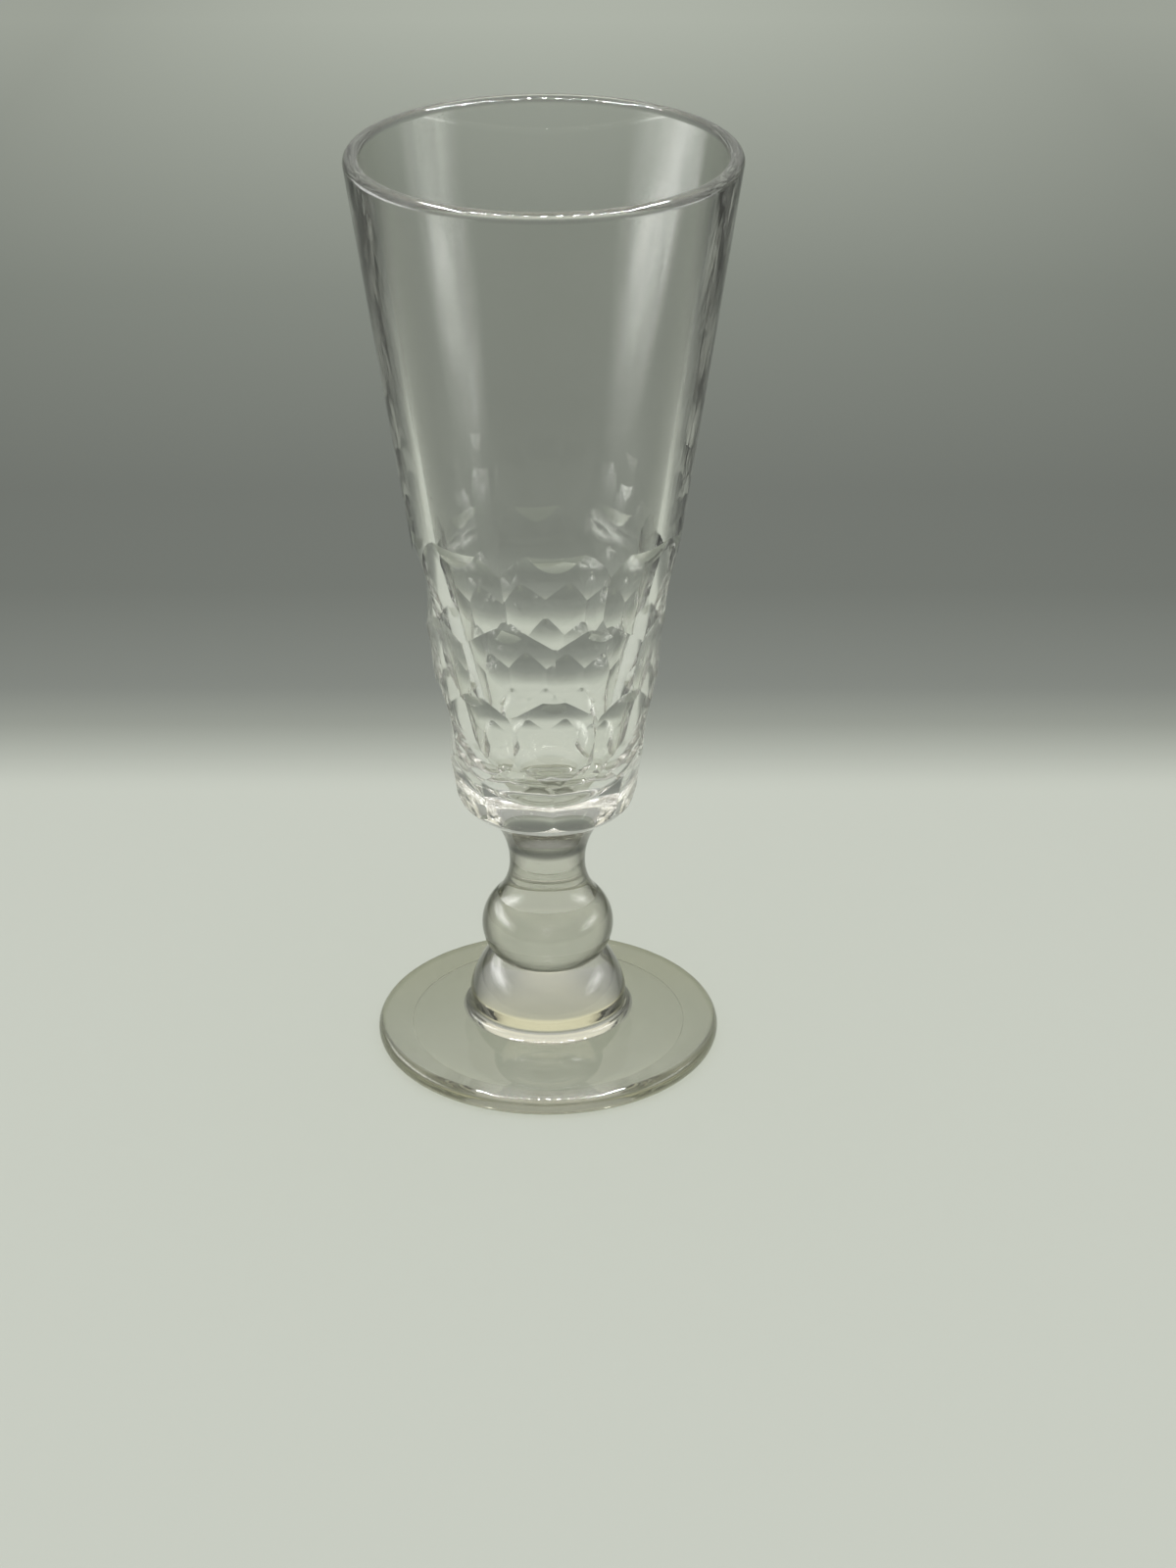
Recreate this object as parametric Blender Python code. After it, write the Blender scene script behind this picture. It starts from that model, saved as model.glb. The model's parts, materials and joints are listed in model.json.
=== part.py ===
"""Absinthe glass: a heavy conical bowl, wheel-cut with a honeycomb of hollow facets, on a waisted
neck, a flattened ball knop, a bell-shaped collar and a disc foot. The five pieces are separately
gathered glass, fused one on the other. Metres, +Z up, axis on Z, standing on z = 0, front to -Y."""

from math import asin, atan2, cos, hypot, pi, radians, sin, sqrt, tan

import bmesh
import bpy
from mathutils import Matrix

# Foot
FOOT_RADIUS = 0.0324
FOOT_EDGE = 0.0038
FOOT_HEIGHT = 0.0061
REST_RING_WIDTH = 0.0050
UNDERSIDE_HOLLOW = 0.0008

# Collar
COLLAR_HEIGHT = 0.0121
COLLAR_RADIUS = 0.0147
COLLAR_SKIRT = 0.0014
SKIRT_HEIGHT = 0.0022
SHOULDER_DROP = 0.0081
SHOULDER_BOW = 0.0007

# Ball knop
BALL_RADIUS = 0.0124
BALL_HALF_HEIGHT = 0.0096
BALL_CUT_BELOW = 0.0052

# Neck
NECK_WAIST_RADIUS = 0.0071
NECK_LOWER_FLARE = 0.0107
NECK_UPPER_FLARE = 0.0149
NECK_BELOW_WAIST = 0.0066
NECK_ABOVE_WAIST = 0.0110

# Bowl
BOWL_HEIGHT = 0.1265
RIM_RADIUS = 0.0347
RIM_WALL = 0.0030
BASE_RADIUS = 0.0170
BASE_DEPTH = 0.0044
BASE_BOW = 0.0008
FLOOR_THICKNESS = 0.0045
CAVITY_ROUND = 0.0148

# Honeycomb of hollow facets, cut on a wheel; each row climbs a little more towards the front
FACETS_ROUND = 8
FACET_ROWS = 4
FIRST_ROW_HEIGHT = 0.0060
ROW_PITCH = 0.0136
ROW_LEAN = 0.0014
WHEEL_RADIUS = 0.0380
WHEEL_WIDTH = 0.0270
RIM_HOLLOW = 0.0650
RIDGE_DEPTH = 0.0002
PATTERN_TURN = radians(4.8)

# Gap left in each fused joint
FUSE_GAP = 0.0003

# Fineness of the round forms
BOWL_SEGMENTS = 96
STEM_SEGMENTS = 64
WHEEL_SEGMENTS = 96
WHEEL_STRIPS = 5
ARC_STEPS = 7

GLASS_TINT = (0.93, 0.95, 0.91, 1.0)


def arc(centre, radii, start, end, steps=ARC_STEPS):
    """Points (radius, height) on an elliptical arc, angles from the outward direction."""
    points = []
    for step in range(steps + 1):
        angle = start + (end - start) * step / steps
        points.append((centre[0] + radii[0] * cos(angle), centre[1] + radii[1] * sin(angle)))
    return points


def bowed(start, end, bow, steps=ARC_STEPS):
    """Points from start down to end on a circular arc that stands out by bow at its middle."""
    run = (end[0] - start[0], end[1] - start[1])
    chord = hypot(*run)
    outward = (-run[1] / chord, run[0] / chord)
    radius = (chord ** 2 / 4 + bow ** 2) / (2 * bow)
    points = []
    for step in range(steps + 1):
        along = step / steps
        rise = sqrt(radius ** 2 - ((along - 0.5) * chord) ** 2) - (radius - bow)
        points.append((start[0] + along * run[0] + rise * outward[0],
                       start[1] + along * run[1] + rise * outward[1]))
    return points


def clear_scene():
    for old in list(bpy.data.objects):
        bpy.data.objects.remove(old, do_unlink=True)


def glass_material(name):
    material = bpy.data.materials.new(name)
    material.use_nodes = True
    shader = material.node_tree.nodes["Principled BSDF"]
    shader.inputs["Base Color"].default_value = GLASS_TINT
    shader.inputs["Roughness"].default_value = 0.02
    shader.inputs["Metallic"].default_value = 0.0
    shader.inputs["IOR"].default_value = 1.5
    shader.inputs["Transmission Weight"].default_value = 1.0
    return material


def turned(name, profile, segments):
    """A solid of revolution whose profile starts and ends on the axis."""
    shape = bmesh.new()
    points = [shape.verts.new((radius, 0.0, height)) for radius, height in profile]
    edges = [shape.edges.new(pair) for pair in zip(points, points[1:])]
    bmesh.ops.spin(shape, geom=points + edges, cent=(0, 0, 0), axis=(0, 0, 1),
                   angle=2 * pi, steps=segments, use_merge=True)
    bmesh.ops.remove_doubles(shape, verts=shape.verts, dist=1e-6)
    bmesh.ops.recalc_face_normals(shape, faces=shape.faces)
    mesh = bpy.data.meshes.new(name)
    shape.to_mesh(mesh)
    shape.free()
    mesh.shade_smooth()
    mesh.set_sharp_from_angle(angle=radians(30))
    mesh.materials.append(glass_material(name + "_glass"))
    piece = bpy.data.objects.new(name, mesh)
    bpy.context.scene.collection.objects.link(piece)
    return piece


def make_foot():
    """A disc with a rounded edge and a slightly coned top, hollow below inside a flat rest ring."""
    edge = FOOT_EDGE / 2
    rest_outer = FOOT_RADIUS - edge
    rest_inner = rest_outer - REST_RING_WIDTH
    seat = COLLAR_RADIUS + COLLAR_SKIRT
    top_slope = atan2(FOOT_HEIGHT - FOOT_EDGE, rest_outer - seat)
    profile = [(0.0, FOOT_HEIGHT), (seat, FOOT_HEIGHT)]
    profile += arc((rest_outer, edge), (edge, edge), pi / 2 - top_slope, -pi / 2)
    profile += arc((0.0, 0.0), (rest_inner, UNDERSIDE_HOLLOW), 0.0, pi / 2, 4)
    return turned("foot", profile, BOWL_SEGMENTS)


def make_collar(base):
    """A bell with a bowed shoulder, whose skirt spreads in a fillet over the foot."""
    top = base + COLLAR_HEIGHT
    skirt = COLLAR_RADIUS + COLLAR_SKIRT
    profile = [(0.0, top)]
    profile += bowed((ball_radius(-BALL_CUT_BELOW), top), (COLLAR_RADIUS, top - SHOULDER_DROP), SHOULDER_BOW)
    profile += arc((skirt, base + SKIRT_HEIGHT), (COLLAR_SKIRT, SKIRT_HEIGHT), pi, 1.5 * pi, 5)
    profile += [(0.0, base)]
    return turned("foot_collar", profile, STEM_SEGMENTS)


def ball_radius(height):
    """Radius of the ball at a height measured from its centre."""
    return BALL_RADIUS * sqrt(1 - (height / BALL_HALF_HEIGHT) ** 2)


def ball_cut_above():
    """Height above the ball's centre at which it is as wide as the lower end of the neck."""
    return BALL_HALF_HEIGHT * sqrt(1 - (neck_end_radius(NECK_LOWER_FLARE, NECK_BELOW_WAIST) / BALL_RADIUS) ** 2)


def make_ball(base):
    """A flattened solid ball, cut level where the collar and the neck are fused to it."""
    centre = base + BALL_CUT_BELOW
    top_angle = asin(ball_cut_above() / BALL_HALF_HEIGHT)
    low_angle = asin(-BALL_CUT_BELOW / BALL_HALF_HEIGHT)
    profile = [(0.0, centre + ball_cut_above())]
    profile += arc((0.0, centre), (BALL_RADIUS, BALL_HALF_HEIGHT), top_angle, low_angle, 2 * ARC_STEPS)
    profile += [(0.0, base)]
    return turned("ball_knop", profile, STEM_SEGMENTS)


def neck_end_radius(flare, height):
    """Radius that a flare of the neck reaches at a height from the waist."""
    return NECK_WAIST_RADIUS + flare - sqrt(flare ** 2 - height ** 2)


def make_neck(base):
    """A short waisted stem, flaring down to the ball and more gently up to the bowl."""
    waist = base + NECK_BELOW_WAIST
    upper = (NECK_WAIST_RADIUS + NECK_UPPER_FLARE, waist)
    lower = (NECK_WAIST_RADIUS + NECK_LOWER_FLARE, waist)
    high_angle = pi - asin(NECK_ABOVE_WAIST / NECK_UPPER_FLARE)
    low_angle = pi + asin(NECK_BELOW_WAIST / NECK_LOWER_FLARE)
    profile = [(0.0, waist + NECK_ABOVE_WAIST)]
    profile += arc(upper, (NECK_UPPER_FLARE, NECK_UPPER_FLARE), high_angle, pi)
    profile += arc(lower, (NECK_LOWER_FLARE, NECK_LOWER_FLARE), pi, low_angle)[1:]
    profile += [(0.0, base)]
    return turned("neck", profile, STEM_SEGMENTS)


def bowl_lines(base):
    """Lip centre, cavity centre and the slopes of the outer and inner cones."""
    lip_radius = RIM_WALL / 2
    lip = (RIM_RADIUS - lip_radius, base + BOWL_HEIGHT - lip_radius)
    corner_height = base + BASE_DEPTH
    run = (lip[0] - BASE_RADIUS, lip[1] - corner_height)
    outer_slope = atan2(*run) + asin(lip_radius / hypot(*run))
    cavity = (0.0, base + FLOOR_THICKNESS + CAVITY_ROUND)
    reach = (lip[0], lip[1] - cavity[1])
    inner_slope = atan2(*reach) - asin((CAVITY_ROUND + lip_radius) / hypot(*reach))
    return lip, cavity, outer_slope, inner_slope


def make_bowl(base):
    """A thick cone with a rounded lip and a round-bottomed cavity, before it is cut."""
    lip, cavity, outer_slope, inner_slope = bowl_lines(base)
    lip_radius = RIM_WALL / 2
    weld_radius = neck_end_radius(NECK_UPPER_FLARE, NECK_ABOVE_WAIST)
    profile = arc(cavity, (CAVITY_ROUND, CAVITY_ROUND), -pi / 2, -inner_slope)
    profile[0] = (0.0, cavity[1] - CAVITY_ROUND)
    profile += arc(lip, (lip_radius, lip_radius), pi - inner_slope, -outer_slope)
    profile += bowed((BASE_RADIUS, base + BASE_DEPTH), (weld_radius, base), BASE_BOW, 4)
    profile += [(0.0, base)]
    return turned("bowl", profile, BOWL_SEGMENTS)


def wheel_mesh():
    """A wheel whose rim is slightly hollow across its width, so that it leaves a facet gently domed."""
    profile = [(0.0, WHEEL_WIDTH / 2)]
    for strip in range(WHEEL_STRIPS + 1):
        across = WHEEL_WIDTH * (0.5 - strip / WHEEL_STRIPS)
        profile.append((WHEEL_RADIUS + across ** 2 / (2 * RIM_HOLLOW), across))
    profile.append((0.0, -WHEEL_WIDTH / 2))
    shape = bmesh.new()
    points = [shape.verts.new((radius, 0.0, across)) for radius, across in profile]
    edges = [shape.edges.new(pair) for pair in zip(points, points[1:])]
    bmesh.ops.spin(shape, geom=points + edges, cent=(0, 0, 0), axis=(0, 0, 1),
                   angle=2 * pi, steps=WHEEL_SEGMENTS, use_merge=True)
    bmesh.ops.remove_doubles(shape, verts=shape.verts, dist=1e-6)
    bmesh.ops.recalc_face_normals(shape, faces=shape.faces)
    mesh = bpy.data.meshes.new("cutting_wheel")
    shape.to_mesh(mesh)
    shape.free()
    mesh.shade_smooth()
    return mesh


def cut_honeycomb(bowl, base):
    """Grind staggered rows of hollow facets into the lower cone, ridge against ridge."""
    slope = bowl_lines(base)[2]
    wheels = bpy.data.collections.new("honeycomb_wheels")
    bpy.context.scene.collection.children.link(wheels)
    mesh = wheel_mesh()
    step = 2 * pi / FACETS_ROUND
    for row in range(FACET_ROWS):
        stagger = 0.5 * ((FACET_ROWS - 1 - row) % 2)
        for facet in range(FACETS_ROUND):
            turn = PATTERN_TURN - pi / 2 + (facet + stagger) * step
            climb = -sin(turn) * (row + 1) * ROW_LEAN
            height = FIRST_ROW_HEIGHT + row * ROW_PITCH + climb
            radius = BASE_RADIUS + (height - BASE_DEPTH) * tan(slope)
            dome = (radius * sin(step / 2)) ** 2 / (2 * RIM_HOLLOW)
            depth = RIDGE_DEPTH + radius * (1 - cos(step / 2)) - dome
            stand_off = WHEEL_RADIUS - depth
            wheel = bpy.data.objects.new("wheel", mesh)
            wheels.objects.link(wheel)
            away = radius + stand_off * cos(slope)
            spot = (away * cos(turn), away * sin(turn), base + height - stand_off * sin(slope))
            wheel.matrix_world = (Matrix.Translation(spot) @ Matrix.Rotation(turn, 4, "Z")
                                  @ Matrix.Rotation(pi / 2, 4, "X"))
            wheel.hide_render = True
            wheel.display_type = "WIRE"
    cut = bowl.modifiers.new("honeycomb", "BOOLEAN")
    cut.operation = "DIFFERENCE"
    cut.operand_type = "COLLECTION"
    cut.collection = wheels
    cut.solver = "EXACT"


def main():
    clear_scene()
    make_foot()
    collar_base = FOOT_HEIGHT + FUSE_GAP
    make_collar(collar_base)
    ball_base = collar_base + COLLAR_HEIGHT + FUSE_GAP
    make_ball(ball_base)
    neck_base = ball_base + BALL_CUT_BELOW + ball_cut_above() + FUSE_GAP
    make_neck(neck_base)
    bowl_base = neck_base + NECK_BELOW_WAIST + NECK_ABOVE_WAIST + FUSE_GAP
    bowl = make_bowl(bowl_base)
    cut_honeycomb(bowl, bowl_base)


main()
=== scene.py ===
"""An absinthe glass of clear cut glass, standing on a pale sheet under rows of small lamps.
Five fused pieces, each turned from its outline, and a honeycomb of facets ground into the bowl."""

import json
from math import asin, atan2, cos, hypot, pi, radians, sin, sqrt, tan

import bpy
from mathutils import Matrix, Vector

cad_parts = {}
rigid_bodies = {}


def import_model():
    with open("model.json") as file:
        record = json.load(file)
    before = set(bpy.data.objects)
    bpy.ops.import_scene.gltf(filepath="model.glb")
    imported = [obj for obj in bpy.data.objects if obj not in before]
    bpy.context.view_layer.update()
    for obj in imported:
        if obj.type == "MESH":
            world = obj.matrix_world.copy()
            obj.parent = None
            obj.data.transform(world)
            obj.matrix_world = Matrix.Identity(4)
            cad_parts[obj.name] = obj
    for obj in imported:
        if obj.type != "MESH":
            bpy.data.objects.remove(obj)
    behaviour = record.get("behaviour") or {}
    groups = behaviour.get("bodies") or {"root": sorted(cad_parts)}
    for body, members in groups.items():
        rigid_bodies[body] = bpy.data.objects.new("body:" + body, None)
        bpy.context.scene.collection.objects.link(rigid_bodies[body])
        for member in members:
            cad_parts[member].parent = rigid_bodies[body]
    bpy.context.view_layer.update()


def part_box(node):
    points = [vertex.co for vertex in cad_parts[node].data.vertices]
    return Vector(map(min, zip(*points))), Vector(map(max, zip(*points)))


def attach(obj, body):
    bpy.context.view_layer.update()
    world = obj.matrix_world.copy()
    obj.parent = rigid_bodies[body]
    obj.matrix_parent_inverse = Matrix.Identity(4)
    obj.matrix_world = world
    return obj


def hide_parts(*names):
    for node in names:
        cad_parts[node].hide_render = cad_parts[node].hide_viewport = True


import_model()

# Foot, in metres
FOOT_RADIUS = 0.0324
FOOT_EDGE = 0.0038
REST_RING_WIDTH = 0.0050
UNDERSIDE_HOLLOW = 0.0008

# Collar
COLLAR_RADIUS = 0.0147
COLLAR_SKIRT = 0.0014
SKIRT_HEIGHT = 0.0022
SHOULDER_DROP = 0.0081
SHOULDER_BOW = 0.0007

# Ball knop
BALL_RADIUS = 0.0124
BALL_HALF_HEIGHT = 0.0096
BALL_CUT_BELOW = 0.0052

# Neck
NECK_WAIST_RADIUS = 0.0071
NECK_LOWER_FLARE = 0.0107
NECK_UPPER_FLARE = 0.0149
NECK_BELOW_WAIST = 0.0066
NECK_ABOVE_WAIST = 0.0110

# Bowl
RIM_RADIUS = 0.0347
RIM_WALL = 0.0030
BASE_RADIUS = 0.0170
BASE_DEPTH = 0.0044
BASE_BOW = 0.0008
FLOOR_THICKNESS = 0.0045
CAVITY_ROUND = 0.0148

# Honeycomb of hollow facets
FACETS_ROUND = 8
FACET_ROWS = 4
FIRST_ROW_HEIGHT = 0.0060
ROW_PITCH = 0.0136
ROW_LEAN = 0.0014
WHEEL_RADIUS = 0.0380
WHEEL_WIDTH = 0.0270
WHEEL_SECTOR = 0.0026
RIM_HOLLOW = 0.0650
RIDGE_DEPTH = 0.0002
PATTERN_TURN = radians(4.8)

# Fineness of the round forms
ROUND_STEPS = 192
WHEEL_STEPS = 180
WHEEL_STRIPS = 10
ARC_STEPS = 20
MERGE_DISTANCE = 1e-6
SMOOTH_ANGLE = radians(12)

# Heights taken from the frame: the welds lie half way across the gaps
FOOT_LOW, FOOT_HIGH = (corner[2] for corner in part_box("foot"))
COLLAR_LOW, COLLAR_HIGH = (corner[2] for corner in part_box("foot_collar"))
BALL_LOW, BALL_HIGH = (corner[2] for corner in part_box("ball_knop"))
NECK_LOW, NECK_HIGH = (corner[2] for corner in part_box("neck"))
BOWL_LOW, BOWL_HIGH = (corner[2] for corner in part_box("bowl"))
COLLAR_WELD = (FOOT_HIGH + COLLAR_LOW) / 2
BALL_WELD = (COLLAR_HIGH + BALL_LOW) / 2
NECK_WELD = (BALL_HIGH + NECK_LOW) / 2
BOWL_WELD = (NECK_HIGH + BOWL_LOW) / 2


# Outlines

def arc(centre, radii, start, end, steps=ARC_STEPS):
    """Points (radius, height) on an elliptical arc, angles from the outward direction."""
    points = []
    for step in range(steps + 1):
        angle = start + (end - start) * step / steps
        points.append((centre[0] + radii[0] * cos(angle), centre[1] + radii[1] * sin(angle)))
    return points


def bowed(start, end, bow, steps=ARC_STEPS):
    """Points from start down to end on a circular arc that stands out by bow at its middle."""
    run = (end[0] - start[0], end[1] - start[1])
    chord = hypot(*run)
    outward = (-run[1] / chord, run[0] / chord)
    radius = (chord ** 2 / 4 + bow ** 2) / (2 * bow)
    points = []
    for step in range(steps + 1):
        along = step / steps
        rise = sqrt(radius ** 2 - ((along - 0.5) * chord) ** 2) - (radius - bow)
        points.append((start[0] + along * run[0] + rise * outward[0],
                       start[1] + along * run[1] + rise * outward[1]))
    return points


def to_welds(outline, low, high, weld_low, weld_high):
    """The outline, stretched from its CAD heights to the middles of the gaps in its welds."""
    stretch = (weld_high - weld_low) / (high - low)
    return [(radius, weld_low + (height - low) * stretch) for radius, height in outline]


def neck_end_radius(flare, height):
    """The neck's radius at a height above or below its waist."""
    return NECK_WAIST_RADIUS + flare - sqrt(flare ** 2 - height ** 2)


def ball_radius(height):
    """The ball's radius at a height above or below its middle."""
    return BALL_RADIUS * sqrt(1 - (height / BALL_HALF_HEIGHT) ** 2)


def foot_outline():
    edge = FOOT_EDGE / 2
    rest_outer = FOOT_RADIUS - edge
    rest_inner = rest_outer - REST_RING_WIDTH
    seat = COLLAR_RADIUS + COLLAR_SKIRT
    top_slope = atan2(FOOT_HIGH - FOOT_EDGE, rest_outer - seat)
    outline = [(0.0, FOOT_HIGH), (seat, FOOT_HIGH)]
    outline += arc((rest_outer, edge), (edge, edge), pi / 2 - top_slope, -pi / 2)
    outline += arc((0.0, 0.0), (rest_inner, UNDERSIDE_HOLLOW), 0.0, pi / 2)
    return to_welds(outline, FOOT_LOW, FOOT_HIGH, FOOT_LOW, COLLAR_WELD)


def collar_outline():
    skirt = COLLAR_RADIUS + COLLAR_SKIRT
    shoulder = (COLLAR_RADIUS, COLLAR_HIGH - SHOULDER_DROP)
    outline = [(0.0, COLLAR_HIGH)]
    outline += bowed((ball_radius(-BALL_CUT_BELOW), COLLAR_HIGH), shoulder, SHOULDER_BOW)
    outline += arc((skirt, COLLAR_LOW + SKIRT_HEIGHT), (COLLAR_SKIRT, SKIRT_HEIGHT), pi, 1.5 * pi)
    outline += [(0.0, COLLAR_LOW)]
    return to_welds(outline, COLLAR_LOW, COLLAR_HIGH, COLLAR_WELD, BALL_WELD)


def ball_outline():
    centre = BALL_LOW + BALL_CUT_BELOW
    top_angle = asin((BALL_HIGH - centre) / BALL_HALF_HEIGHT)
    low_angle = asin(-BALL_CUT_BELOW / BALL_HALF_HEIGHT)
    outline = [(0.0, BALL_HIGH)]
    outline += arc((0.0, centre), (BALL_RADIUS, BALL_HALF_HEIGHT), top_angle, low_angle,
                   2 * ARC_STEPS)
    outline += [(0.0, BALL_LOW)]
    return to_welds(outline, BALL_LOW, BALL_HIGH, BALL_WELD, NECK_WELD)


def neck_outline():
    waist = NECK_LOW + NECK_BELOW_WAIST
    upper = (NECK_WAIST_RADIUS + NECK_UPPER_FLARE, waist)
    lower = (NECK_WAIST_RADIUS + NECK_LOWER_FLARE, waist)
    high_angle = pi - asin(NECK_ABOVE_WAIST / NECK_UPPER_FLARE)
    low_angle = pi + asin(NECK_BELOW_WAIST / NECK_LOWER_FLARE)
    outline = [(0.0, NECK_HIGH)]
    outline += arc(upper, (NECK_UPPER_FLARE, NECK_UPPER_FLARE), high_angle, pi)
    outline += arc(lower, (NECK_LOWER_FLARE, NECK_LOWER_FLARE), pi, low_angle)[1:]
    outline += [(0.0, NECK_LOW)]
    return to_welds(outline, NECK_LOW, NECK_HIGH, NECK_WELD, BOWL_WELD)


def bowl_lines():
    """Lip centre, cavity centre and the slopes of the outer and inner cones."""
    lip_radius = RIM_WALL / 2
    lip = (RIM_RADIUS - lip_radius, BOWL_HIGH - lip_radius)
    run = (lip[0] - BASE_RADIUS, lip[1] - (BOWL_LOW + BASE_DEPTH))
    outer_slope = atan2(*run) + asin(lip_radius / hypot(*run))
    cavity = (0.0, BOWL_LOW + FLOOR_THICKNESS + CAVITY_ROUND)
    reach = (lip[0], lip[1] - cavity[1])
    inner_slope = atan2(*reach) - asin((CAVITY_ROUND + lip_radius) / hypot(*reach))
    return lip, cavity, outer_slope, inner_slope


def bowl_outline():
    lip, cavity, outer_slope, inner_slope = bowl_lines()
    lip_radius = RIM_WALL / 2
    weld_radius = neck_end_radius(NECK_UPPER_FLARE, NECK_ABOVE_WAIST)
    outline = arc(cavity, (CAVITY_ROUND, CAVITY_ROUND), -pi / 2, -inner_slope)
    outline[0] = (0.0, cavity[1] - CAVITY_ROUND)
    outline += arc(lip, (lip_radius, lip_radius), pi - inner_slope, -outer_slope)
    outline += bowed((BASE_RADIUS, BOWL_LOW + BASE_DEPTH), (weld_radius, BOWL_LOW), BASE_BOW)
    outline += [(0.0, BOWL_LOW)]
    return to_welds(outline, BOWL_LOW, BOWL_HIGH, BOWL_WELD, BOWL_HIGH)


# Modelling

def turned(name, outline, steps=ROUND_STEPS):
    """A solid turned round the Z axis from an outline that starts and ends on it."""
    bpy.ops.object.select_all(action="DESELECT")
    bpy.ops.mesh.primitive_plane_add(size=RIM_WALL)
    piece = bpy.context.object
    piece.name = name
    bpy.ops.object.mode_set(mode="EDIT")
    bpy.ops.mesh.select_all(action="SELECT")
    bpy.ops.mesh.merge(type="CENTER")
    bpy.ops.transform.translate(value=(outline[0][0], 0.0, outline[0][1]))
    for start, end in zip(outline, outline[1:]):
        move = (end[0] - start[0], 0.0, end[1] - start[1])
        bpy.ops.mesh.extrude_vertices_move(TRANSFORM_OT_translate={"value": move})
    bpy.ops.mesh.select_all(action="SELECT")
    bpy.ops.mesh.spin(steps=steps, angle=2 * pi, center=(0, 0, 0), axis=(0, 0, 1))
    bpy.ops.mesh.select_all(action="SELECT")
    bpy.ops.mesh.remove_doubles(threshold=MERGE_DISTANCE)
    bpy.ops.mesh.normals_make_consistent(inside=False)
    bpy.ops.object.mode_set(mode="OBJECT")
    return piece


def cutting_wheel():
    """The hollow rim of a wheel, cut off as a shallow sector towards -X."""
    outline = [(0.0, WHEEL_WIDTH / 2)]
    for strip in range(WHEEL_STRIPS + 1):
        across = WHEEL_WIDTH * (0.5 - strip / WHEEL_STRIPS)
        outline.append((WHEEL_RADIUS + across ** 2 / (2 * RIM_HOLLOW), across))
    outline.append((0.0, -WHEEL_WIDTH / 2))
    wheel = turned("wheel", outline, WHEEL_STEPS)
    bpy.ops.object.mode_set(mode="EDIT")
    bpy.ops.mesh.select_all(action="SELECT")
    bpy.ops.mesh.bisect(plane_co=(WHEEL_SECTOR - WHEEL_RADIUS, 0, 0), plane_no=(1, 0, 0),
                        use_fill=True, clear_outer=True)
    bpy.ops.object.mode_set(mode="OBJECT")
    return wheel


def grind_honeycomb(bowl):
    """Staggered rows of hollow facets, each ground by the rim of a wheel, ridge against ridge."""
    slope = bowl_lines()[2]
    wheels = bpy.data.collections.new("wheels")
    bpy.context.scene.collection.children.link(wheels)
    pattern = cutting_wheel()
    step = 2 * pi / FACETS_ROUND
    for row in range(FACET_ROWS):
        stagger = 0.5 * ((FACET_ROWS - 1 - row) % 2)
        for facet in range(FACETS_ROUND):
            turn = PATTERN_TURN - pi / 2 + (facet + stagger) * step
            height = FIRST_ROW_HEIGHT + row * ROW_PITCH - sin(turn) * (row + 1) * ROW_LEAN
            radius = BASE_RADIUS + (height - BASE_DEPTH) * tan(slope)
            dome = (radius * sin(step / 2)) ** 2 / (2 * RIM_HOLLOW)
            depth = RIDGE_DEPTH + radius * (1 - cos(step / 2)) - dome
            stand_off = WHEEL_RADIUS - depth
            away = radius + stand_off * cos(slope)
            wheel = pattern.copy()
            wheel.location = (away * cos(turn), away * sin(turn),
                              BOWL_LOW + height - stand_off * sin(slope))
            wheel.rotation_euler = (pi / 2, 0.0, turn)
            wheels.objects.link(wheel)
    bpy.ops.object.select_all(action="DESELECT")
    bpy.context.view_layer.objects.active = bowl
    bowl.select_set(True)
    grind = bowl.modifiers.new("honeycomb", "BOOLEAN")
    grind.operation = "DIFFERENCE"
    grind.operand_type = "COLLECTION"
    grind.collection = wheels
    grind.solver = "EXACT"
    bpy.ops.object.modifier_apply(modifier=grind.name)
    for wheel in list(wheels.objects) + [pattern]:
        bpy.data.objects.remove(wheel, do_unlink=True)
    bpy.data.collections.remove(wheels)


def finish_piece(piece, node, glass, weld, welds):
    """Smooth the round faces, give the glass to the outside and the weld to the fused faces."""
    bpy.ops.object.select_all(action="DESELECT")
    bpy.context.view_layer.objects.active = piece
    piece.select_set(True)
    bpy.ops.object.shade_smooth_by_angle(angle=SMOOTH_ANGLE)
    piece.data.materials.append(glass)
    piece.data.materials.append(weld)
    for face in piece.data.polygons:
        if any(abs(face.center.z - height) < MERGE_DISTANCE for height in welds):
            face.material_index = 1
    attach(piece, "root")
    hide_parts(node)


# Shader helpers

def tone(red, green, blue):
    """A colour as it reads on screen, 0 to 255, for a shader's socket."""
    return tuple(((part / 255 + 0.055) / 1.055) ** 2.4 for part in (red, green, blue)) + (1.0,)


def join(links, nodes, operation, first, second):
    """Two values added, multiplied or compared by the named operation."""
    result = nodes.new("ShaderNodeMath")
    result.operation = operation
    for socket, value in zip(result.inputs, (first, second)):
        if isinstance(value, float):
            socket.default_value = value
        else:
            links.new(value, socket)
    return result.outputs["Value"]


def times(links, nodes, first, second):
    """The product of two values."""
    return join(links, nodes, "MULTIPLY", first, second)


def value_map(links, nodes, value, low, high, to_low, to_high, interpolation="LINEAR"):
    """A value brought from one range to another and held inside it."""
    mapped = nodes.new("ShaderNodeMapRange")
    mapped.interpolation_type = interpolation
    bounds = {"From Min": low, "From Max": high, "To Min": to_low, "To Max": to_high}
    for name, bound in bounds.items():
        mapped.inputs[name].default_value = bound
    links.new(value, mapped.inputs["Value"])
    return mapped.outputs["Result"]


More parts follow.
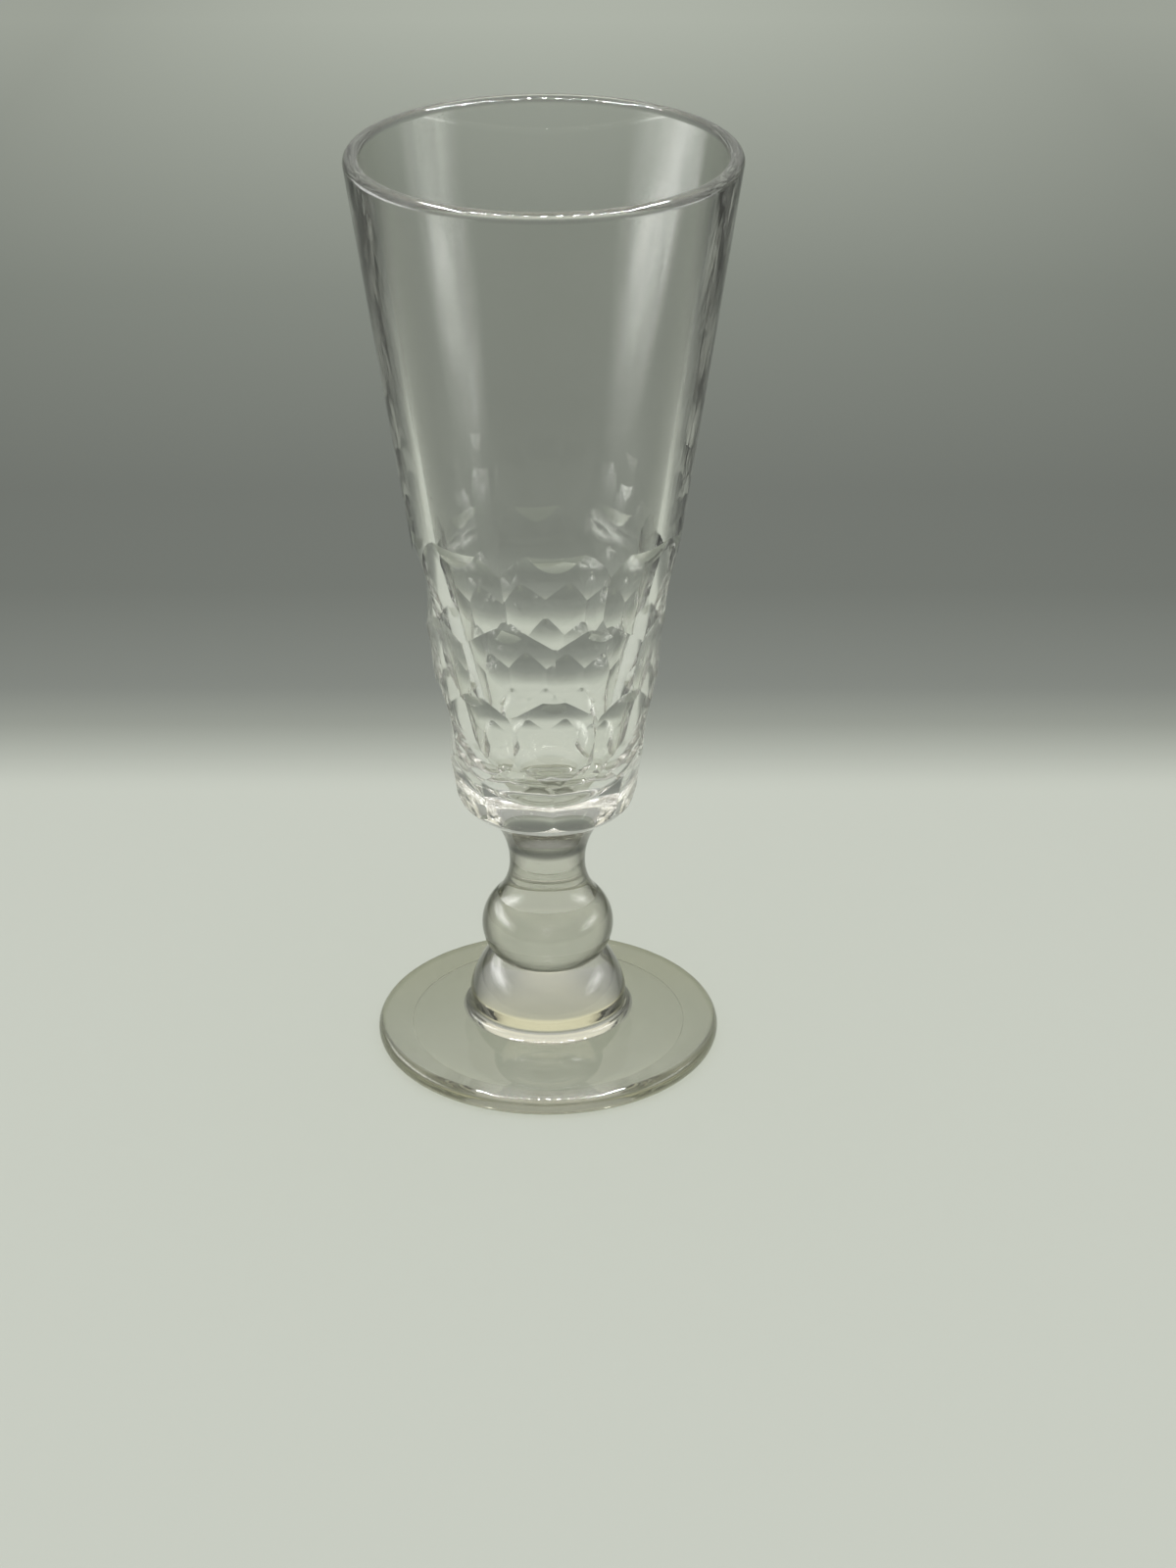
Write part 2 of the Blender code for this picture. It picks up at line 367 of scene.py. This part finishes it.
def cloud(links, nodes, place, size, detail=2.0):
    """Soft cloudy variation of about the given size."""
    noise = nodes.new("ShaderNodeTexNoise")
    noise.inputs["Scale"].default_value = 1.0 / size
    noise.inputs["Detail"].default_value = detail
    links.new(place, noise.inputs["Vector"])
    return noise.outputs["Fac"]


def stretched(links, nodes, place, scale):
    """The place with its axes scaled."""
    mapping = nodes.new("ShaderNodeMapping")
    mapping.inputs["Scale"].default_value = scale
    links.new(place, mapping.inputs["Vector"])
    return mapping.outputs["Vector"]


def blend_colour(links, nodes, first, second, factor):
    """From the first colour to the second by the factor."""
    mix = nodes.new("ShaderNodeMix")
    mix.data_type = "RGBA"
    for name, colour in (("A", first), ("B", second)):
        if isinstance(colour, tuple):
            mix.inputs[name].default_value = colour
        else:
            links.new(colour, mix.inputs[name])
    links.new(factor, mix.inputs["Factor"])
    return mix.outputs["Result"]


# Glass

GLASS_IOR = 1.5
STREAK_SIZE = 0.008
STREAK_LENGTH = 6.0
STREAK_DEPTH = 1.4e-5
RIPPLE_SIZE = 0.002
RIPPLE_SHARE = 0.06
SEED_SPACING = 0.011
SEED_RADIUS = 0.00022
SEED_SHARE = 2.5
WORN_SIZE = 0.016
WORN_DETAIL = 4.0
WORN_START = 0.50
WORN_FULL = 0.72
WORN_ROUGHNESS = 0.035
TINT_SIZE = 0.020
TINT_START = 0.3
TINT_FULL = 0.7
# Painted shade: where the glass is seen edge on, its colour darkens towards its edge tint
EDGE_START = 0.32
EDGE_FULL = 0.60
RIM_FADE = 0.0015
FAR_OUT = 1.0

# Each glass: its tint, its deeper tint, the tint and painted shade of its edges, and what it lets through
# to the sheet
BOWL_TINTS = ((0.985, 0.988, 0.970, 1.0), (0.975, 0.980, 0.955, 1.0),
              (0.80, 0.81, 0.75, 1.0), (0.965, 0.97, 0.95, 1.0))
STEM_TINTS = ((0.780, 0.770, 0.710, 1.0), (0.750, 0.740, 0.675, 1.0),
              (0.06, 0.06, 0.045, 1.0), (0.95, 0.95, 0.92, 1.0))
FOOT_TINTS = ((0.690, 0.695, 0.665, 1.0), (0.660, 0.665, 0.625, 1.0),
              (0.46, 0.46, 0.33, 1.0), (0.95, 0.95, 0.93, 1.0))


def glass_relief(links, nodes, place):
    """Drawn streaks, fine ripples and a few seeds, as a bumped normal."""
    drawn = stretched(links, nodes, place, (1.0, 1.0, 1.0 / STREAK_LENGTH))
    streaks = cloud(links, nodes, drawn, STREAK_SIZE)
    ripples = times(links, nodes, cloud(links, nodes, place, RIPPLE_SIZE), RIPPLE_SHARE)
    seeds = nodes.new("ShaderNodeTexVoronoi")
    seeds.inputs["Scale"].default_value = 1.0 / SEED_SPACING
    links.new(place, seeds.inputs["Vector"])
    dimples = value_map(links, nodes, seeds.outputs["Distance"], 0.0, SEED_RADIUS / SEED_SPACING,
                        SEED_SHARE, 0.0)
    relief = join(links, nodes, "ADD", join(links, nodes, "ADD", streaks, ripples), dimples)
    bump = nodes.new("ShaderNodeBump")
    bump.inputs["Distance"].default_value = STREAK_DEPTH
    links.new(relief, bump.inputs["Height"])
    return bump.outputs["Normal"]


def glass_colour(links, nodes, place, tint, deep_tint, edge_tint_and_shade, rim_start):
    """A cloudy tint that deepens where the glass is seen edge on, and outside the rim's start: partly the
    longer path through the tinted glass, partly painted shade for the darker surroundings seen in its
    edges.
    """
    clouds = value_map(links, nodes, cloud(links, nodes, place, TINT_SIZE), TINT_START, TINT_FULL, 0.0, 1.0)
    colour = blend_colour(links, nodes, tint, deep_tint, clouds)
    facing = nodes.new("ShaderNodeLayerWeight").outputs["Facing"]
    edge = value_map(links, nodes, facing, EDGE_START, EDGE_FULL, 0.0, 1.0)
    radius = nodes.new("ShaderNodeVectorMath")
    radius.operation = "LENGTH"
    links.new(stretched(links, nodes, place, (1.0, 1.0, 0.0)), radius.inputs[0])
    rim = value_map(links, nodes, radius.outputs["Value"], rim_start, rim_start + RIM_FADE, 0.0, 1.0)
    return blend_colour(links, nodes, colour, edge_tint_and_shade, join(links, nodes, "MAXIMUM", edge, rim))


def glass_finish(name, tint, deep_tint, edge_tint_and_shade, shade, rim_start=FAR_OUT):
    """Old clear glass: its relief bends the view, and it is worn here and there."""
    material = bpy.data.materials.new(name)
    material.use_nodes = True
    nodes = material.node_tree.nodes
    links = material.node_tree.links
    shader = nodes["Principled BSDF"]
    shader.inputs["IOR"].default_value = GLASS_IOR
    shader.inputs["Transmission Weight"].default_value = 1.0
    place = nodes.new("ShaderNodeTexCoord").outputs["Object"]
    links.new(glass_relief(links, nodes, place), shader.inputs["Normal"])
    worn = cloud(links, nodes, place, WORN_SIZE, WORN_DETAIL)
    links.new(value_map(links, nodes, worn, WORN_START, WORN_FULL, 0.0, WORN_ROUGHNESS),
              shader.inputs["Roughness"])
    links.new(glass_colour(links, nodes, place, tint, deep_tint, edge_tint_and_shade, rim_start),
              shader.inputs["Base Color"])
    through = nodes.new("ShaderNodeBsdfTransparent")
    through.inputs["Color"].default_value = shade
    path = nodes.new("ShaderNodeLightPath")
    seen = shader.outputs["BSDF"]
    for kind in ("Is Shadow Ray", "Is Diffuse Ray"):
        mix = nodes.new("ShaderNodeMixShader")
        links.new(path.outputs[kind], mix.inputs["Fac"])
        links.new(seen, mix.inputs[1])
        links.new(through.outputs["BSDF"], mix.inputs[2])
        seen = mix.outputs["Shader"]
    links.new(seen, nodes["Material Output"].inputs["Surface"])
    return material


def weld_finish():
    """The fused faces, where the glass runs through unbroken."""
    material = bpy.data.materials.new("weld")
    material.use_nodes = True
    nodes = material.node_tree.nodes
    nodes.remove(nodes["Principled BSDF"])
    through = nodes.new("ShaderNodeBsdfTransparent")
    material.node_tree.links.new(through.outputs["BSDF"], nodes["Material Output"].inputs["Surface"])
    return material


def make_glass():
    weld = weld_finish()
    bowl_glass = glass_finish("bowl_glass", *BOWL_TINTS)
    stem_glass = glass_finish("stem_glass", *STEM_TINTS)
    foot_glass = glass_finish("foot_glass", *FOOT_TINTS, FOOT_RADIUS - FOOT_EDGE / 2)
    bowl = turned("glass_bowl", bowl_outline())
    grind_honeycomb(bowl)
    neck = turned("glass_neck", neck_outline())
    ball = turned("glass_ball", ball_outline())
    collar = turned("glass_collar", collar_outline())
    foot = turned("glass_foot", foot_outline())
    finish_piece(bowl, "bowl", bowl_glass, weld, [BOWL_WELD])
    finish_piece(neck, "neck", stem_glass, weld, [NECK_WELD, BOWL_WELD])
    finish_piece(ball, "ball_knop", stem_glass, weld, [BALL_WELD, NECK_WELD])
    finish_piece(collar, "foot_collar", stem_glass, weld, [COLLAR_WELD, BALL_WELD])
    finish_piece(foot, "foot", foot_glass, weld, [COLLAR_WELD])


# Sheet

SHEET_SIZE = 12.0
SHEET_DROP = 0.00005
SHEET_ROUGHNESS = 0.9
# Painted light and shade along the sheet, front to back: painted shade near the front, the lit pale floor,
# painted shade behind the glass, painted light far back
SHEET_NEAR_SHADE = tone(140, 143, 137)
SHEET_PALE = tone(191, 194, 187)
SHEET_TURN_SHADE = tone(146, 149, 143)
SHEET_FALL_SHADE = tone(126, 129, 125)
SHEET_SHADE = tone(111, 114, 110)
SHEET_RISE_LIGHT = tone(129, 133, 127)
SHEET_FAR_LIGHT = tone(172, 176, 168)
SHEET_STOPS = ((-0.340, SHEET_NEAR_SHADE), (-0.170, SHEET_PALE), (0.104, SHEET_PALE), (0.134, SHEET_TURN_SHADE),
               (0.154, SHEET_FALL_SHADE), (0.209, SHEET_SHADE), (0.270, SHEET_SHADE), (0.420, SHEET_RISE_LIGHT),
               (0.700, SHEET_FAR_LIGHT))
SHEET_FRONT = -0.4
SHEET_BACK = 0.8
SHEET_DIM = 8.0
SHEET_LEAST = 0.80
SHEET_ASIDE = 0.30


def sheet_finish():
    """A pale sheet painted with light and shade: painted shade at the front, pale where it lies in the
    lamps' light, painted shade where it falls away behind the glass, painted light farther back as if lit
    from above, and painted shade towards its far corners.
    """
    material = bpy.data.materials.new("pale_sheet")
    material.use_nodes = True
    nodes = material.node_tree.nodes
    links = material.node_tree.links
    shader = nodes["Principled BSDF"]
    shader.inputs["Roughness"].default_value = SHEET_ROUGHNESS
    shader.inputs["Specular IOR Level"].default_value = 0.0
    place = nodes.new("ShaderNodeTexCoord")
    split = nodes.new("ShaderNodeSeparateXYZ")
    links.new(place.outputs["Object"], split.inputs["Vector"])
    ramp = nodes.new("ShaderNodeValToRGB")
    stops = ramp.color_ramp.elements
    while len(stops) < len(SHEET_STOPS):
        stops.new(0.5)
    for stop, (far, colour) in zip(stops, SHEET_STOPS):
        stop.position = (far - SHEET_FRONT) / (SHEET_BACK - SHEET_FRONT)
        stop.color = colour
    links.new(value_map(links, nodes, split.outputs["Y"], SHEET_FRONT, SHEET_BACK, 0.0, 1.0),
              ramp.inputs["Fac"])
    # Painted shade: the sheet darkens towards its far corners, down to its least share
    square = times(links, nodes, split.outputs["X"], split.outputs["X"])
    aside = value_map(links, nodes, square, 0.0, SHEET_ASIDE ** 2, 0.0, SHEET_ASIDE ** 2)
    behind = value_map(links, nodes, split.outputs["Y"], 0.0, SHEET_BACK, 0.0, 1.0)
    dim = value_map(links, nodes, times(links, nodes, aside, behind),
                    0.0, (1.0 - SHEET_LEAST) / SHEET_DIM, 1.0, SHEET_LEAST)
    dimmed = nodes.new("ShaderNodeMix")
    dimmed.data_type = "RGBA"
    dimmed.blend_type = "MULTIPLY"
    dimmed.inputs["Factor"].default_value = 1.0
    links.new(ramp.outputs["Color"], dimmed.inputs["A"])
    links.new(dim, dimmed.inputs["B"])
    links.new(dimmed.outputs["Result"], shader.inputs["Base Color"])
    return material


def make_stage():
    bpy.ops.object.select_all(action="DESELECT")
    bpy.ops.mesh.primitive_plane_add(size=SHEET_SIZE, location=(0, 0, 0))
    sheet = bpy.context.object
    sheet.name = "sheet"
    bpy.ops.object.mode_set(mode="EDIT")
    bpy.ops.mesh.select_all(action="SELECT")
    bpy.ops.transform.translate(value=(0, 0, -SHEET_DROP))
    bpy.ops.object.mode_set(mode="OBJECT")
    sheet.data.materials.append(sheet_finish())


# Lamps

OVER_PLACE = (0, -0.1, 1.6)
OVER_AIM = (0, -0.05, 0)
OVER_SIZE = 1.6
OVER_POWER = 13.0

# Side panels: glow, front and back, and top; the borders of both, as shares of their width and height
PANEL_AWAY = 0.28
PANEL_LOW = 0.055
LEFT_PANEL = (7.5, -0.20, 0.28, 0.190)
RIGHT_PANEL = (5.0, -0.20, 0.13, 0.165)
PANEL_BORDERS = (("X", 0.0, 0.45), ("X", 1.0, 0.55), ("Y", 0.0, 0.40), ("Y", 1.0, 0.45))
PANEL_CLOUD = 0.30
CLOUD_START = 0.35
CLOUD_FULL = 0.65
CLOUD_DIM = 0.55
CLOUD_BRIGHT = 1.25

LED_HEIGHT = 0.425
LED_PLACE = -0.06
LED_HALF_WIDTH = 0.1225
LED_SIDE = 0.150
LED_BACK = 0.10
LED_PITCH = 0.0245
LED_WIDTH = 0.008
LED_DEPTH = 0.030
LED_GLOW = 240.0


def area_lamp(name, place, size, glow):
    """A lamp of the given size that glows evenly, facing down, unseen by the camera."""
    bpy.ops.object.light_add(type="AREA", location=place)
    lamp = bpy.context.object
    lamp.name = name
    lamp.data.shape = "RECTANGLE"
    lamp.data.size, lamp.data.size_y = size
    lamp.data.energy = glow * pi * size[0] * size[1]
    lamp.visible_camera = False
    return lamp


def over_lamp():
    """A broad lamp that lights the sheet and is not seen in the glass."""
    lamp = area_lamp("over_lamp", OVER_PLACE, (OVER_SIZE, OVER_SIZE), 0.0)
    lamp.rotation_euler = (Vector(OVER_AIM) - Vector(OVER_PLACE)).to_track_quat("-Z", "Y").to_euler()
    lamp.data.shape = "SQUARE"
    lamp.data.energy = OVER_POWER
    lamp.visible_glossy = False
    lamp.visible_transmission = False


def side_panel(name, side, glow, front, back, high):
    """A glowing wall beside the glass, soft at its borders and uneven, seen mirrored in the glass."""
    place = (side * PANEL_AWAY, (front + back) / 2, (PANEL_LOW + high) / 2)
    lamp = area_lamp(name, place, (back - front, high - PANEL_LOW), glow)
    lamp.rotation_euler = (pi / 2, 0.0, side * pi / 2)
    lamp.visible_diffuse = False
    lamp.data.use_nodes = True
    nodes = lamp.data.node_tree.nodes
    links = lamp.data.node_tree.links
    across = nodes.new("ShaderNodeNewGeometry").outputs["Parametric"]
    split = nodes.new("ShaderNodeSeparateXYZ")
    links.new(across, split.inputs["Vector"])
    strength = value_map(links, nodes, cloud(links, nodes, across, PANEL_CLOUD), CLOUD_START, CLOUD_FULL,
                         CLOUD_DIM, CLOUD_BRIGHT)
    for axis, start, full in PANEL_BORDERS:
        border = value_map(links, nodes, split.outputs[axis], start, full, 0.0, 1.0, "SMOOTHSTEP")
        strength = times(links, nodes, strength, border)
    mirrored = nodes.new("ShaderNodeLightPath").outputs["Glossy Depth"]
    once = nodes.new("ShaderNodeMath")
    once.operation = "COMPARE"
    once.inputs[1].default_value = 1.0
    once.inputs[2].default_value = 0.5
    links.new(mirrored, once.inputs[0])
    links.new(times(links, nodes, strength, once.outputs["Value"]), nodes["Emission"].inputs["Strength"])


def led_row(name, start, end, size):
    """A row of small lamps, a pitch apart, facing down."""
    run = Vector(end) - Vector(start)
    count = round(run.length / LED_PITCH)
    for step in range(count + 1):
        lamp = area_lamp(name, Vector(start) + run * (step / count), size, LED_GLOW)
        lamp.visible_diffuse = False


def make_lamps():
    over_lamp()
    side_panel("left_wall", -1, *LEFT_PANEL)
    side_panel("right_wall", 1, *RIGHT_PANEL)
    led_row("led_row", (-LED_HALF_WIDTH, LED_PLACE, LED_HEIGHT), (LED_HALF_WIDTH, LED_PLACE, LED_HEIGHT),
            (LED_WIDTH, LED_DEPTH))
    for name, aside in (("led_left", -LED_SIDE), ("led_right", LED_SIDE)):
        led_row(name, (aside, LED_PLACE, LED_HEIGHT), (aside, LED_BACK, LED_HEIGHT),
                (LED_DEPTH, LED_WIDTH))


# Room

WORLD_FRONT = 0.07
BACK_LOW = 0.33
BACK_HIGH = 0.55
BACK_RISE = 0.40
WORLD_TOP = 0.68
TOP_START = 0.45
TOP_FULL = 0.80
ZENITH_START = 0.86
ZENITH_FULL = 0.97
ZENITH_LEFT = 0.30
ROOM_COLOUR = (0.98, 1.0, 0.95, 1.0)
TOP_COLOUR = (1.0, 0.965, 0.80, 1.0)
LONG_START = 5.0
LONG_END = 26.0
LONG_LEFT = 0.10


def make_world():
    """A dim room, lighter to the back, under a warm ring of light that is darker straight above.
    The sheet is lit without the ring's colour and gap, and light that has been thrown to and fro
    in the glass fades."""
    world = bpy.data.worlds.new("room")
    bpy.context.scene.world = world
    world.use_nodes = True
    nodes = world.node_tree.nodes
    links = world.node_tree.links
    way = nodes.new("ShaderNodeTexCoord")
    split = nodes.new("ShaderNodeSeparateXYZ")
    links.new(way.outputs["Generated"], split.inputs["Vector"])
    path = nodes.new("ShaderNodeLightPath")
    on_sheet = path.outputs["Is Diffuse Ray"]
    behind = value_map(links, nodes, split.outputs["Y"], -1.0, 1.0, 0.0, 1.0)
    rise = value_map(links, nodes, split.outputs["Z"], 0.0, BACK_RISE, BACK_LOW, BACK_HIGH)
    room = join(links, nodes, "ADD", times(links, nodes, behind, rise), WORLD_FRONT)
    top = value_map(links, nodes, split.outputs["Z"], TOP_START, TOP_FULL, 0.0, 1.0, "SMOOTHSTEP")
    zenith = value_map(links, nodes, split.outputs["Z"], ZENITH_START, ZENITH_FULL, 1.0, ZENITH_LEFT)
    ring = times(links, nodes, top, join(links, nodes, "MAXIMUM", zenith, on_sheet))
    total = join(links, nodes, "ADD", room, times(links, nodes, ring, WORLD_TOP))
    left = value_map(links, nodes, path.outputs["Ray Depth"], LONG_START, LONG_END, 1.0, LONG_LEFT)
    warm = times(links, nodes, top, join(links, nodes, "SUBTRACT", 1.0, on_sheet))
    links.new(blend_colour(links, nodes, ROOM_COLOUR, TOP_COLOUR, warm),
              nodes["Background"].inputs["Color"])
    links.new(times(links, nodes, total, left), nodes["Background"].inputs["Strength"])


# Camera and render

CAMERA_PLACE = (0.00763, -0.6507, 0.3819)
CAMERA_TILT = radians(63.18)
CAMERA_LENS = 90.0
CAMERA_FILM = 36.0
GLASS_BOUNCES = 96
CLEAR_BOUNCES = 64


def make_camera():
    bpy.ops.object.camera_add(location=CAMERA_PLACE, rotation=(CAMERA_TILT, 0, 0))
    camera = bpy.context.object
    camera.data.sensor_fit = "VERTICAL"
    camera.data.sensor_height = CAMERA_FILM
    camera.data.lens = CAMERA_LENS
    bpy.context.scene.camera = camera


def set_render():
    scene = bpy.context.scene
    scene.view_settings.view_transform = "Standard"
    scene.cycles.max_bounces = GLASS_BOUNCES
    scene.cycles.transmission_bounces = GLASS_BOUNCES
    scene.cycles.glossy_bounces = GLASS_BOUNCES
    scene.cycles.transparent_max_bounces = CLEAR_BOUNCES
    scene.cycles.caustics_refractive = False
    scene.cycles.caustics_reflective = False


make_glass()
make_stage()
make_lamps()
make_world()
make_camera()
set_render()
